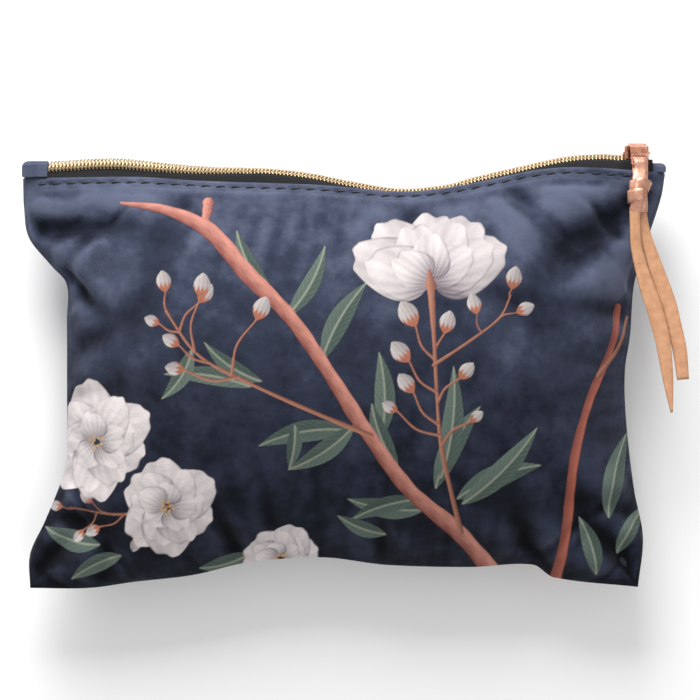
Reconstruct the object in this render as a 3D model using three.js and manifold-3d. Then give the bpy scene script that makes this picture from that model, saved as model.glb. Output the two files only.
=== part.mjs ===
// A stuffed velvet pouch lying on its back, with a zip along its top edge and a knotted leather thong on the slider.
// Millimetres. +X runs along the zip towards its closed end, +Y from the bottom seam to the zip, +Z out of the
// printed face. The shapes are drawn about the seam plane, z = 0, and lifted onto the floor at the end.
import * as THREE from "three";
import Module from "manifold-3d";

const wasm = await Module();
wasm.setup();
const { Manifold, CrossSection, Mesh } = wasm;

// Driving dimensions
const FRONT_DEPTH = 27; // front panel's crown above the seam plane
const BACK_DEPTH = 24.5; // seam plane above the floor
const BACK_FLATNESS = 1.6; // how far the back's dome is pressed flat by the floor
const VELVET = 1.4;
const LINING = 0.4;
const TAPE = 0.5;
const LAYER_GAP = 0.6; // loose room between velvet and tape
const LINING_GAP = 1.2; // and between tape and lining
const SEAM_GAP = 0.3;
const NEST_X = 115; // half sizes that the nested layers shrink by
const NEST_Y = 78;
const NEST_Z = 27;
const CENTRE_Y = -4;
const LEFT = -122.6; // ends of the top edge
const RIGHT = 122.6;
const BOTTOM_LEFT = [-119.9, -83.3];
const BOTTOM_RIGHT = [112.3, -82.9];
const TOP_BAND = 2; // fold edge to topstitch

const GRID_U = 20;
const GRID_V = 14;

const PITCH = 1.4; // coil, per side
const COIL_OUT = 1.9; // half width of the chain
const COIL_ROOT = 1.3;
const COIL_TIP = -0.5;
const COIL_LEAN = 0.15;
const COIL_HEIGHT = 1.7;
const ZIP_START = -112.8;
const ZIP_END = 117.2;

const SLIDER_X = 111.7;
const SLIDER_LENGTH = 10.4;
const SLIDER_TAIL = 3.4; // half widths
const SLIDER_NOSE = 4.1;
const PLATE = 0.9;
const PLATE_TOP = 3.1; // above the chain's base plane
const PLATE_BOTTOM = -1.85;
const NECK = 0.7; // half width of the wedge between the plates
const SPREAD = 1.4; // sideways shift of each coil past the wedge
const BAR_RADIUS = 0.6;
const BAR_RISE = 1.9; // bar's axis above the top plate
const TAB_WIDTH = 6.4;
const TAB_SHEET = 0.8;
const EYE_RADIUS = 0.9;
const STRAP_WIDTH = 4.4;
const STRAP = 1.2;
const KNOT = [111, 67.2, 12.8];
const TAIL_THICKNESS = 1.3;

const STITCH_PITCH = 5.7;
const THREAD_RADIUS = 0.3;

// Outline and mouth, as lines through chosen points, each [along, across]
const leftEdge = smoothLine([
  [-83.3, -119.9], [-70.3, -119.9], [-57.7, -114.2], [-41.6, -107.7], [-32.9, -105.8], [-7.3, -105.8],
  [19.1, -105.8], [33, -106], [40, -112], [50.4, -120.3], [61.5, -122.2], [72.6, -122.6],
]);
const rightEdge = smoothLine([
  [-82.9, 112.3], [-63.8, 114.2], [-45.5, 110.8], [-18.3, 107.7], [-0.4, 107.3], [13.4, 109.3],
  [32.5, 110.8], [47, 115], [65.7, 121.1], [74.5, 122.6],
]);
const bottomEdge = smoothLine([
  [-119.9, -83.3], [-97.4, -83.3], [-80.2, -81], [-57.3, -78.3], [-37.4, -73.7], [-8.8, -71.6],
  [16.4, -74.5], [48.5, -75.3], [72.2, -74.4], [80, -79.2], [112.3, -82.9],
]);
const frontFold = smoothLine([
  [-122.6, 72.6], [-80.2, 73.3], [-54.6, 71.8], [-12.2, 70.3], [2.3, 69.1], [21.8, 67.6], [37.8, 68.8],
  [57.7, 72.6], [72.2, 75.6], [84.8, 76.8], [98.2, 76.4], [109.3, 75.6], [122.6, 74.5],
]);
const backFold = smoothLine([
  [-122.6, 72.6], [-112, 73.6], [-97, 80.2], [-80, 79], [-55, 74.5], [-29, 73], [2, 69], [22, 66.2], [45, 68],
  [67, 73.5], [85, 77], [98, 77.6], [110, 76], [122.6, 74.5],
]);
const chainLine = smoothLine([
  [-122.6, 76.4], [-113, 77], [-88.6, 78.3], [-71.8, 77], [-54.6, 75.6], [-29, 74.9], [-12.2, 73], [2.3, 70.1],
  [21.8, 67.2], [39.7, 68.8], [48.9, 71.4], [66.9, 75.6], [84.8, 79.4], [98.2, 80.4], [105, 80], [118, 80],
  [122.6, 78],
]);
const frontGape = smoothLine([
  [-122.6, 4.2], [-100, 4.2], [-60, 4.4], [-29, 4.8], [0, 6], [22, 6.4], [55, 6.4], [85, 5.8], [98, 6],
  [106, 6.6], [122.6, 6.6],
]);
const backGape = smoothLine([
  [-122.6, 4.2], [-100, 5.6], [-60, 5.6], [0, 6], [22, 6.4], [85, 5.8], [98, 6], [106, 6.6], [122.6, 6.6],
]);

// A smooth line through points whose first coordinate increases: a cubic between each two.
function smoothLine(points) {
  const slope = (i) => {
    const a = points[Math.max(i - 1, 0)];
    const b = points[Math.min(i + 1, points.length - 1)];
    return (b[1] - a[1]) / (b[0] - a[0]);
  };
  return (x) => {
    let i = 0;
    while (i < points.length - 2 && x > points[i + 1][0]) i += 1;
    const [[x0, y0], [x1, y1]] = [points[i], points[i + 1]];
    const run = x1 - x0;
    const t = Math.min(Math.max((x - x0) / run, 0), 1);
    const ease = t * t * (3 - 2 * t);
    const leave = t * (1 - t) * (1 - t) * run * slope(i);
    const arrive = t * t * (t - 1) * run * slope(i + 1);
    return y0 + (y1 - y0) * ease + leave + arrive;
  };
}

const mix = (a, b, t) => a + (b - a) * t;
const ramp = (a, b, x) => THREE.MathUtils.smoothstep(x, a, b);

// Rounded hump over 0..1 that stands steeply at both ends.
function hump(t, sharpness, steepness) {
  return (1 - Math.abs(2 * t - 1) ** sharpness) ** steepness;
}

// Presses a dome's top flat: unchanged low down, and level once it would pass the floor.
function pressed(height) {
  if (height <= 0.8) return height;
  return height >= 1.2 ? 1 : height - (height - 0.8) ** 2 / 0.8;
}

// Half gape of the mouth, closing over the last few millimetres at both ends.
function gape(side, x) {
  const along = (2 * (x - LEFT)) / (RIGHT - LEFT) - 1;
  const line = side > 0 ? frontGape : backGape;
  return line(x) * Math.sqrt(Math.max(1 - Math.abs(along) ** 24, 0));
}

// A point of the pouch's outer skin. side is +1 for the front and -1 for the back, u runs along the zip
// and v from the bottom seam to the fold edge.
function skin(side, u, v) {
  const fold = side > 0 ? frontFold : backFold;
  const topX = mix(LEFT, RIGHT, u);
  const bottomX = mix(BOTTOM_LEFT[0], BOTTOM_RIGHT[0], u);
  const leftY = mix(BOTTOM_LEFT[1], fold(LEFT), v);
  const rightY = mix(BOTTOM_RIGHT[1], fold(RIGHT), v);
  const cornerX = mix(mix(BOTTOM_LEFT[0], BOTTOM_RIGHT[0], u), mix(LEFT, RIGHT, u), v);
  const cornerY = mix(mix(BOTTOM_LEFT[1], BOTTOM_RIGHT[1], u), mix(fold(LEFT), fold(RIGHT), u), v);
  const x = mix(bottomX, topX, v) + mix(leftEdge(leftY), rightEdge(rightY), u) - cornerX;
  const y = mix(bottomEdge(bottomX), fold(topX), v) + mix(leftY, rightY, u) - cornerY;
  const dome = hump(u, 2.4, 0.75) * hump(v, 2.6, 0.8);
  const depth = side > 0 ? FRONT_DEPTH * dome : BACK_DEPTH * pressed(BACK_FLATNESS * dome);
  const z = side * Math.min(SEAM_GAP / 2 + gape(side, topX) * v ** 6 + depth, side > 0 ? FRONT_DEPTH : BACK_DEPTH);
  return new THREE.Vector3(x, y, z);
}

// The same point on a layer that lies a given depth inside the skin. Layers nest and never cross.
function layer(side, u, v, depth) {
  const p = skin(side, u, v);
  p.x *= 1 - depth / NEST_X;
  p.y = CENTRE_Y + (p.y - CENTRE_Y) * (1 - depth / NEST_Y);
  p.z *= 1 - depth / NEST_Z;
  return p;
}

// Grid stations: closer together near the seams, and a last narrow band for the topstitch.
const columns = Array.from({ length: GRID_U + 1 }, (_, i) => 0.5 - 0.5 * Math.cos((Math.PI * i) / GRID_U));
const bandStart = 1 - TOP_BAND / 150;
const rows = [
  ...Array.from({ length: GRID_V }, (_, j) => bandStart * (0.5 - 0.5 * Math.cos((Math.PI * j) / (GRID_V - 1)))),
  1,
];

// A closed solid from points and triangles, turned to face out.
function solid(points, faces) {
  const geometry = new THREE.BufferGeometry();
  geometry.setAttribute("position", new THREE.Float32BufferAttribute(points.flatMap((p) => p.toArray()), 3));
  const volume = faces.reduce((sum, [a, b, c]) => {
    return sum + points[a].dot(new THREE.Vector3().crossVectors(points[b], points[c]));
  }, 0);
  geometry.setIndex(faces.flatMap(([a, b, c]) => (volume < 0 ? [a, c, b] : [a, b, c])));
  return geometry;
}

// A sheet of cloth between two nested layers of one side of the pouch.
function clothSheet(side, outerDepth, innerDepth) {
  const points = [outerDepth, innerDepth].flatMap((depth) =>
    rows.flatMap((v) => columns.map((u) => layer(side, u, v, depth))),
  );
  const wide = columns.length;
  const count = wide * rows.length;
  const faces = [];
  const quad = (a, b, c, d) => faces.push([a, b, c], [a, c, d]);
  for (let j = 0; j + 1 < rows.length; j += 1) {
    for (let i = 0; i + 1 < wide; i += 1) {
      const a = j * wide + i;
      const [b, c, d] = [a + 1, a + wide + 1, a + wide];
      faces.push([a, b, c], [a, c, d], [count + a, count + c, count + b], [count + a, count + d, count + c]);
    }
  }
  for (let i = 0; i + 1 < wide; i += 1) {
    const top = (rows.length - 1) * wide + i;
    quad(i + 1, i, count + i, count + i + 1);
    quad(top, top + 1, count + top + 1, count + top);
  }
  for (let j = 0; j + 1 < rows.length; j += 1) {
    const left = j * wide;
    const right = left + wide - 1;
    quad(left, left + wide, count + left + wide, count + left);
    quad(right + wide, right, count + right, count + right + wide);
  }
  return solid(points, faces);
}

// A solid through a row of cross-sections, each a loop of the same number of points. Its ends are closed by
// strips between the two halves of the loop.
function loft(sections) {
  const size = sections[0].length;
  const last = (sections.length - 1) * size;
  const faces = [];
  for (let s = 0; s + 1 < sections.length; s += 1) {
    for (let i = 0; i < size; i += 1) {
      const a = s * size + i;
      const b = s * size + ((i + 1) % size);
      faces.push([a, b, b + size], [a, b + size, a + size]);
    }
  }
  for (let i = 0, j = size - 1; i + 1 < j; i += 1, j -= 1) {
    faces.push([i + 1, i, j], [last + i, last + i + 1, last + j]);
    if (i + 1 < j - 1) faces.push([i + 1, j, j - 1], [last + i + 1, last + j - 1, last + j]);
  }
  return solid(sections.flat(), faces);
}

// A round tube through points.
function tube(path, radius, sides = 6) {
  const sections = path.map((p, i) => {
    const before = path[Math.max(i - 1, 0)];
    const after = path[Math.min(i + 1, path.length - 1)];
    const along = new THREE.Vector3().subVectors(after, before).normalize();
    const up = Math.abs(along.z) < 0.8 ? new THREE.Vector3(0, 0, 1) : new THREE.Vector3(1, 0, 0);
    const across = new THREE.Vector3().crossVectors(along, up).normalize();
    const lift = new THREE.Vector3().crossVectors(across, along);
    return Array.from({ length: sides }, (_, k) => {
      const turn = (2 * Math.PI * k) / sides;
      return p
        .clone()
        .addScaledVector(across, radius * Math.cos(turn))
        .addScaledVector(lift, radius * Math.sin(turn));
    });
  });
  return loft(sections);
}

// Loop of points around an open line [y, z], half a thickness to each side, at one x.
function ribbonSection(x, line, thickness) {
  const normals = line.map((_, i) => {
    const a = line[Math.max(i - 1, 0)];
    const b = line[Math.min(i + 1, line.length - 1)];
    const length = Math.hypot(b[0] - a[0], b[1] - a[1]);
    return [(b[1] - a[1]) / length, -(b[0] - a[0]) / length];
  });
  const shifted = (sign) =>
    line.map(([y, z], i) => {
      const [ny, nz] = normals[i];
      return new THREE.Vector3(x, y + (sign * ny * thickness) / 2, z + (sign * nz * thickness) / 2);
    });
  return [...shifted(1), ...shifted(-1).reverse()];
}

// Where the chain's own axes stand at x: across runs towards the front tape and out away from the pouch.
function chainFrame(x) {
  const roll = THREE.MathUtils.degToRad(45 * (1 - ramp(-85, -25, x)));
  return {
    place: (across, out) => [
      chainLine(x) - across * Math.sin(roll) + out * Math.cos(roll),
      across * Math.cos(roll) + out * Math.sin(roll),
    ],
    spread: SPREAD * ramp(SLIDER_X + 0.2, SLIDER_X + 2.8, x),
  };
}

function zipTape(side) {
  const depth = VELVET + LAYER_GAP + TAPE / 2;
  const stations = 36;
  const sections = Array.from({ length: stations + 1 }, (_, i) => {
    const x = mix(ZIP_START, ZIP_END, i / stations);
    const tucked = [bandStart, 1].map((v) => {
      const p = alongRow(side, x, v, depth);
      return [p.y, p.z];
    });
    const frame = chainFrame(x);
    const shelf = mix(2.6, 5.1, ramp(SLIDER_X - 9, SLIDER_X - 6, x));
    const edge = [frame.place(side * shelf, -0.4), frame.place(side * (0.25 + frame.spread), -0.4)];
    return ribbonSection(x, [...tucked, ...edge], TAPE);
  });
  return loft(sections);
}

// One side of the coil as a comb of slanted teeth. The other side's teeth stand in its gaps.
function zipCoil(side) {
  const teeth = Math.floor((ZIP_END - ZIP_START) / PITCH) - 1;
  const sections = [];
  for (let k = 0; k <= 2 * teeth; k += 1) {
    const isTip = side > 0 ? k % 2 === 1 : k % 2 === 0;
    const x = ZIP_START + 0.5 + (k * PITCH) / 2 + (isTip ? COIL_LEAN : 0);
    const frame = chainFrame(x);
    const inner = (isTip ? COIL_TIP : COIL_ROOT) + frame.spread;
    const outer = COIL_OUT + frame.spread;
    const corners = [[outer, 0.05], [outer - 0.3, COIL_HEIGHT], [inner, COIL_HEIGHT / 2]];
    sections.push(corners.map(([w, n]) => new THREE.Vector3(x, ...frame.place(side * w, n))));
  }
  return loft(sections);
}

// Stitches proud of the fold edge, dipping to the cloth between each two.
function topstitch(side) {
  const count = Math.round((ZIP_END - ZIP_START) / STITCH_PITCH);
  const path = [];
  for (let k = 0; k <= 2 * count; k += 1) {
    const x = mix(ZIP_START - 4, ZIP_END - 2, k / (2 * count));
    const depth = k % 2 ? -0.62 : -0.42;
    path.push(alongRow(side, x, bandStart, depth));
  }
  return tube(path, 0.2, 4);
}

// The point at x on one row of the cloth's grid, between that row's own corners.
function alongRow(side, x, v, depth) {
  const corners = columns.map((u) => layer(side, u, v, depth));
  let i = 0;
  while (i < GRID_U - 1 && x > corners[i + 1].x) i += 1;
  const t = (x - corners[i].x) / (corners[i + 1].x - corners[i].x);
  return corners[i].clone().lerp(corners[i + 1], t);
}

// Sewing thread in the seam allowance, between velvet and lining, through grid corners given as [u, v].
function seamThread(corners) {
  const depth = VELVET + (LAYER_GAP + TAPE + LINING_GAP) / 2;
  return tube(corners.map(([u, v]) => layer(-1, u, v, depth).setZ(0)), THREAD_RADIUS);
}

function toManifold(geometry) {
  const vertProperties = new Float32Array(geometry.getAttribute("position").array);
  return new Manifold(new Mesh({ numProp: 3, vertProperties, triVerts: new Uint32Array(geometry.index.array) }));
}

function fromManifold(shape) {
  const mesh = shape.getMesh();
  const geometry = new THREE.BufferGeometry();
  geometry.setAttribute("position", new THREE.Float32BufferAttribute(mesh.vertProperties, 3));
  geometry.setIndex(Array.from(mesh.triVerts));
  return geometry;
}

// Extrudes an outline [x, z] along Y, from y0 to y1.
function plateXZ(outline, y0, y1) {
  const flat = outline.map(([x, z]) => [x, -z]);
  return new CrossSection([flat], "NonZero").extrude(y1 - y0).rotate([-90, 0, 0]).translate([0, y0, 0]);
}

// Extrudes an outline [y, z] along X, centred on x.
function barYZ(outline, x, width) {
  return new CrossSection([outline], "NonZero")
    .extrude(width, 0, 0, [1, 1], true)
    .rotate([90, 0, 0])
    .rotate([0, 0, 90])
    .translate([x, 0, 0]);
}

// A folded square of velvet over each end of the zip.
function zipTab(end) {
  const inner = end < 0 ? ZIP_START - 0.3 : ZIP_END + 0.3;
  const outer = end < 0 ? LEFT + 0.2 : RIGHT - 0.2;
  const low = Math.max(frontFold(inner), backFold(inner), frontFold(outer)) + 0.4;
  const high = end < 0 ? 79.8 : 79;
  const width = Math.abs(outer - inner);
  const centre = (outer + inner) / 2;
  const radius = end < 0 ? 2.6 : 2;
  const half = 4.2;
  const profile = [[low, -half], [high - 1.6, -half], [high - 0.4, -half + 1], [high, -half + 2.4]];
  const round = [...profile, ...profile.slice().reverse().map(([y, z]) => [y, -z])];
  const block = barYZ(round, centre, width);
  const cornerX = outer - end * radius;
  const corner = Manifold.cylinder(20, radius, radius, 16, true).translate([cornerX, high - radius, 0]);
  const post = Manifold.cube([radius, high - radius - low + 2, 20], true);
  const below = post.translate([outer - (end * radius) / 2, (low - 2 + high - radius) / 2, 0]);
  const rest = Manifold.cube([width - radius, 30, 20], true).translate([centre - (end * radius) / 2, high - 5, 0]);
  return fromManifold(block.intersect(corner.add(below).add(rest)));
}

// Shield-shaped plate outline: narrow where the closed chain leaves, wide at the rounded nose.
function sliderOutline(shrink) {
  const back = SLIDER_X - SLIDER_LENGTH / 2 + shrink;
  const front = SLIDER_X + SLIDER_LENGTH / 2 - shrink;
  const half = [
    [back, SLIDER_TAIL - 0.9 - shrink], [back + 0.9, SLIDER_TAIL - shrink], [SLIDER_X - 1, SLIDER_TAIL - shrink],
    [SLIDER_X + 1, SLIDER_NOSE - shrink], [front - 1.6, SLIDER_NOSE - shrink], [front - 0.5, SLIDER_NOSE - 1.1],
    [front, SLIDER_NOSE - 2.4],
  ];
  return [...half, ...half.slice().reverse().map(([x, z]) => [x, -z])];
}

const sliderBase = chainLine(SLIDER_X);
const barY = sliderBase + PLATE_TOP + BAR_RISE;

// Two plates joined by a wedge, side flanges that guide the coils, and a bridge for the pull.
function sliderBody() {
  const top = sliderBase + PLATE_TOP;
  const bottom = sliderBase + PLATE_BOTTOM;
  const flangeWall = 0.65;
  const upper = plateXZ(sliderOutline(0), top - PLATE, top);
  const lower = plateXZ(sliderOutline(0.15), bottom, bottom + PLATE);
  const skirt = plateXZ(sliderOutline(0), sliderBase + 0.4, top - PLATE / 2);
  const channel = plateXZ(sliderOutline(flangeWall), sliderBase, top - PLATE)
    .add(Manifold.cube([4, 6, 2 * (SLIDER_TAIL - flangeWall)], true).translate([SLIDER_X - 6, sliderBase, 0]))
    .add(Manifold.cube([5, 6, 7], true).translate([SLIDER_X + 6.2, sliderBase, 0]));
  const flanges = skirt.subtract(channel);
  const wedge = Manifold.cube([2, PLATE_TOP - PLATE_BOTTOM - PLATE, 2 * NECK], true).translate([
    SLIDER_X + 3.4,
    (top + bottom) / 2,
    0,
  ]);
  const span = SLIDER_LENGTH / 2 - 1;
  const leg = 1.3;
  const bar = Manifold.cylinder(2 * span, BAR_RADIUS, BAR_RADIUS, 12, true).rotate([0, 90, 0]);
  const legs = [-1, 1].map((end) =>
    Manifold.cube([leg, BAR_RISE + BAR_RADIUS * 0.6 + 0.4, 2], true).translate([
      SLIDER_X + end * (span - leg / 2 + 0.3),
      top - 0.4 + (BAR_RISE + BAR_RADIUS * 0.6 + 0.4) / 2,
      0,
    ]),
  );
  const bridge = bar.translate([SLIDER_X, barY, 0]).add(legs[0]).add(legs[1]);
  return fromManifold(upper.add(lower).add(flanges).add(wedge).add(bridge));
}

// The pull's sheet-metal leaf in the plane of [y, z], from the eye over the slider's shoulder and down the front.
const leaf = [
  [barY + EYE_RADIUS + TAB_SHEET / 2, 0], [barY + 1, 1.6], [barY + 0.5, 4], [barY - 0.8, 6.2], [barY - 3.2, 8],
  [barY - 7.4, 9.4],
];
const leafEnd = leaf[leaf.length - 1];

function pullTab() {
  const ring = Manifold.cylinder(TAB_WIDTH, EYE_RADIUS + TAB_SHEET, EYE_RADIUS + TAB_SHEET, 20, true);
  const hole = Manifold.cylinder(TAB_WIDTH + 2, EYE_RADIUS, EYE_RADIUS, 20, true);
  const place = (shape) => shape.rotate([0, 90, 0]).translate([SLIDER_X, barY, 0]);
  const outline = ribbonSection(0, leaf, TAB_SHEET).map((p) => [p.y, p.z]);
  const sheet = barYZ(outline, SLIDER_X, TAB_WIDTH);
  const slot = Manifold.cube([STRAP_WIDTH + 0.6, 2.2, 6], true).translate([SLIDER_X, leafEnd[0] + 2.4, leafEnd[1]]);
  return fromManifold(place(ring).add(sheet).subtract(place(hole)).subtract(slot));
}

// A strap bent through points in the plane of [y, z].
function strap(line, x, width, thickness) {
  return barYZ(ribbonSection(0, line, thickness).map((p) => [p.y, p.z]), x, width);
}

// One turn of the knot: a flattened ring of leather around the knot's middle.
function knotTurn(radiusX, radiusZ, tube, tilt, shiftY) {
  const around = Array.from({ length: 18 }, (_, i) => (2 * Math.PI * i) / 18);
  const section = Array.from({ length: 8 }, (_, k) => (2 * Math.PI * k) / 8);
  const points = around.flatMap((turn) =>
    section.map((roll) => {
      const out = 1 + (tube * 0.8 * Math.cos(roll)) / radiusX;
      const p = new THREE.Vector3(radiusX * out * Math.cos(turn), tube * 1.6 * Math.sin(roll), 0);
      p.z = radiusZ * out * Math.sin(turn);
      return p;
    }),
  );
  const faces = [];
  for (let i = 0; i < 18; i += 1) {
    for (let k = 0; k < 8; k += 1) {
      const a = i * 8 + k;
      const b = i * 8 + ((k + 1) % 8);
      const next = ((i + 1) % 18) * 8;
      const c = next + ((k + 1) % 8);
      const d = next + k;
      faces.push([a, b, c], [a, c, d]);
    }
  }
  return toManifold(solid(points, faces)).rotate([0, 0, tilt]).translate([KNOT[0], KNOT[1] + shiftY, KNOT[2]]);
}

function thongKnot() {
  const loop = [
    [KNOT[1] + 1, KNOT[2] + 1.4], [leafEnd[0] - 2, leafEnd[1] + 2.2], [leafEnd[0] + 1.2, leafEnd[1] + 2],
    [leafEnd[0] + 2.5, leafEnd[1] + 0.1], [leafEnd[0] + 1.2, leafEnd[1] - 1.9],
    [leafEnd[0] - 1.8, leafEnd[1] - 1.5], [KNOT[1] + 1, KNOT[2] - 1.4],
  ];
  const core = Manifold.sphere(1, 20).scale([3.2, 4.6, 2.8]).translate(KNOT);
  return fromManifold(
    strap(loop, KNOT[0] + 0.7, STRAP_WIDTH, STRAP)
      .add(core)
      .add(knotTurn(2.9, 2.4, 0.9, 24, 1.7))
      .add(knotTurn(3, 2.5, 0.9, -28, -1.8)),
  );
}

// A flat leather tail through points, with the half width at each.
function tail(points, halfWidths) {
  const path = new THREE.CatmullRomCurve3(points.map((p) => new THREE.Vector3(...p)), false, "centripetal");
  const steps = 18;
  const widthAt = smoothLine(halfWidths.map((w, i) => [i / (halfWidths.length - 1), w]));
  const sections = Array.from({ length: steps + 1 }, (_, i) => {
    const centre = path.getPointAt(i / steps);
    const along = path.getTangentAt(i / steps);
    const across = new THREE.Vector3(along.y, -along.x, 0).normalize();
    const up = new THREE.Vector3().crossVectors(across, along).normalize();
    return [[-1, -1], [1, -1], [1, 1], [-1, 1]].map(([a, b]) =>
      centre
        .clone()
        .addScaledVector(across, a * widthAt(i / steps))
        .addScaledVector(up, (b * TAIL_THICKNESS) / 2),
    );
  });
  return loft(sections);
}

const frontTail = [
  [109.2, 61, 13.2], [109.4, 54, 13.4], [109.9, 46, 13.6], [113, 33.6, 14.4], [116.5, 22.5, 15.6],
  [119.2, 11.5, 16.8], [120.7, 0, 18], [122.2, -15.7, 20],
];
const rearTail = [
  [112, 60.6, 10.4], [113.4, 51.6, 11], [116.5, 41.3, 11.8], [119.2, 33.2, 12.6], [121.9, 25.2, 13.6],
  [123.8, 16.8, 14.8], [125.7, 8, 16], [126.8, -3.4, 17.6],
];

const materials = {
  velvet: { color: 0x3a4157, roughness: 0.92, metalness: 0 },
  lining: { color: 0x20242f, roughness: 0.75, metalness: 0 },
  tape: { color: 0x0f1013, roughness: 0.85, metalness: 0 },
  coil: { color: 0xd9c27a, roughness: 0.35, metalness: 0.85 },
  rose_gold: { color: 0xd99a7c, roughness: 0.18, metalness: 1 },
  leather: { color: 0xd9ab86, roughness: 0.6, metalness: 0 },
  thread: { color: 0x171b2a, roughness: 0.8, metalness: 0 },
};

const sideRows = rows.slice(1, -2);
const innerTape = VELVET + LAYER_GAP + TAPE + LINING_GAP;
const pieces = {
  front_panel: ["velvet", clothSheet(1, 0, VELVET)],
  back_panel: ["velvet", clothSheet(-1, 0, VELVET)],
  front_lining: ["lining", clothSheet(1, innerTape, innerTape + LINING)],
  back_lining: ["lining", clothSheet(-1, innerTape, innerTape + LINING)],
  zip_tab_left: ["velvet", zipTab(-1)],
  zip_tab_right: ["velvet", zipTab(1)],
  zip_tape_front: ["tape", zipTape(1)],
  zip_tape_back: ["tape", zipTape(-1)],
  zip_coil_front: ["coil", zipCoil(1)],
  zip_coil_back: ["coil", zipCoil(-1)],
  slider_body: ["rose_gold", sliderBody()],
  pull_tab: ["rose_gold", pullTab()],
  thong_knot: ["leather", thongKnot()],
  thong_tail_front: ["leather", tail(frontTail, [2, 2.2, 2.5, 2.9, 2.9, 2.6, 1.9, 0.3])],
  thong_tail_rear: ["leather", tail(rearTail, [2, 2.2, 2.6, 2.9, 2.9, 2.8, 2.6, 2.2])],
  topstitch_front: ["thread", topstitch(1)],
  topstitch_back: ["thread", topstitch(-1)],
  side_seam_thread_left: ["thread", seamThread(sideRows.map((v) => [0, v]))],
  side_seam_thread_right: ["thread", seamThread(sideRows.map((v) => [1, v]))],
  bottom_seam_thread: ["thread", seamThread(columns.slice(2, -2).map((u) => [u, 0]))],
};

const pouch = new THREE.Group();
pouch.name = "zippered_pouch";
const frameBox = new THREE.Box3();
for (const [name, [material, geometry]] of Object.entries(pieces)) {
  geometry.computeBoundingBox();
  if (!name.startsWith("thong_tail")) frameBox.union(geometry.boundingBox);
  const mesh = new THREE.Mesh(geometry, new THREE.MeshStandardMaterial(materials[material]));
  mesh.name = name;
  pouch.add(mesh);
}
const middle = frameBox.getCenter(new THREE.Vector3());
for (const mesh of pouch.children) {
  mesh.geometry.translate(-middle.x, -middle.y, -frameBox.min.z);
  mesh.geometry.computeVertexNormals();
}

export default pouch;
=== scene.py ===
"""A stuffed, printed velvet pouch on its back: zip along the top edge, slider with a knotted leather thong.

Shapes are worked out in millimetres about the seam plane, in the frame that part.mjs draws in, and placed in
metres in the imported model's frame. +X runs along the zip, +Y from the bottom seam to the zip, +Z up.
"""
import math

import bpy
import numpy as np
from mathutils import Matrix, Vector


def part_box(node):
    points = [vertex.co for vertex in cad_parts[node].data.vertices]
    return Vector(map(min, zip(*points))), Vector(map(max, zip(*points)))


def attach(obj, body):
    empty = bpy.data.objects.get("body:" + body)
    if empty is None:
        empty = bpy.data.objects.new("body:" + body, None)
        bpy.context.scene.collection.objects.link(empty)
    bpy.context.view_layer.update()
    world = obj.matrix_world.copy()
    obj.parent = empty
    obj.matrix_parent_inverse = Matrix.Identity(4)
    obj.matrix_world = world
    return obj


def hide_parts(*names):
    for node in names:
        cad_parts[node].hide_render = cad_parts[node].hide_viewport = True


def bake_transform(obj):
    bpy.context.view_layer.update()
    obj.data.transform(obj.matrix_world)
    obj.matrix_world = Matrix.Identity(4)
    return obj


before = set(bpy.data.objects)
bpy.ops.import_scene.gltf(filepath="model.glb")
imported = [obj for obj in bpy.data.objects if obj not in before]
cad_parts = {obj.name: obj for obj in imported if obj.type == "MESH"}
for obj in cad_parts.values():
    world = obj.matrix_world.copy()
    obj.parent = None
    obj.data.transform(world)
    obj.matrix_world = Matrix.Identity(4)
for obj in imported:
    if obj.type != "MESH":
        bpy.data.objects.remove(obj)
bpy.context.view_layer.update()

# Sizes shared with the CAD model, in millimetres
FRONT_DEPTH = 27
BACK_DEPTH = 24.5
BACK_FLATNESS = 1.6
VELVET = 1.4
LEFT, RIGHT = -122.6, 122.6
BOTTOM_LEFT = (-119.9, -83.3)
BOTTOM_RIGHT = (112.3, -82.9)
TOP_BAND = 2
PITCH = 1.4
ZIP_START, ZIP_END = -112.8, 117.2
SLIDER_X = 111.7
BRIDGE_Y = 85
SPREAD = 1.4
STITCH_PITCH = 5.7
SEAM_PITCH = 2.8
NEST = (115, 78, 27)  # an inner layer shrinks towards the middle by its depth's share of these half sizes
CENTRE_Y = -4
PANEL = (240, 152)  # a panel's width and height, for distances along the cloth
LINING_DEPTH = 5
LEAF_END = (BRIDGE_Y - 7.4, 9.4)
KNOT = np.array([111, 67.2, 12.8])
TAIL_THICKNESS = 1.3
KNOT_THICKNESS = 1.15

# The mouth opens as a lens: cloth left of OPEN_LEFT and right of OPEN_RIGHT bends, and between them it lifts
OPEN_LEFT = (-92, -34)
OPEN_RIGHT = (44, 103)

# Quads of the panels' grids, across and up: the front's are about 0.4 mm
FRONT_GRID = (610, 430)
BACK_GRID = (360, 250)

# The simulated cloth: a coarse grid that starts thinner than the filled pouch and is cut a little too large
CLOTH_COLUMNS, CLOTH_ROWS = 141, 91
CLOTH_START = {1: 0.80, -1: 0.86}  # share of the full thickness
CLOTH_SCALE = 10  # simulated at ten times its size, where the solver's own units suit it
CLOTH_FRAMES = 24
CLOTH_CAP = 7.5  # the furthest that a point may move
CLOTH_SETTINGS = {
    "quality": 6, "mass": 0.02, "tension_stiffness": 15, "compression_stiffness": 15, "shear_stiffness": 5,
    "bending_stiffness": 0.8, "tension_damping": 5, "compression_damping": 5, "shear_damping": 5,
    "bending_damping": 0.5, "shrink_min": -0.04, "use_pressure": True, "uniform_pressure_force": 9,
}
THONG_ROOM = 1.4  # how far the cloth may stand proud of the plain skin under the thong
settled = {}  # how far the simulation moved each side's points
VIEW_SPAN = 267.4  # width of the camera's view at the seam plane

# Where the drawing frame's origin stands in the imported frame
SHIFT = np.array([0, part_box("slider_body")[1].y * 1000 - BRIDGE_Y - 0.6, BACK_DEPTH])

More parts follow.
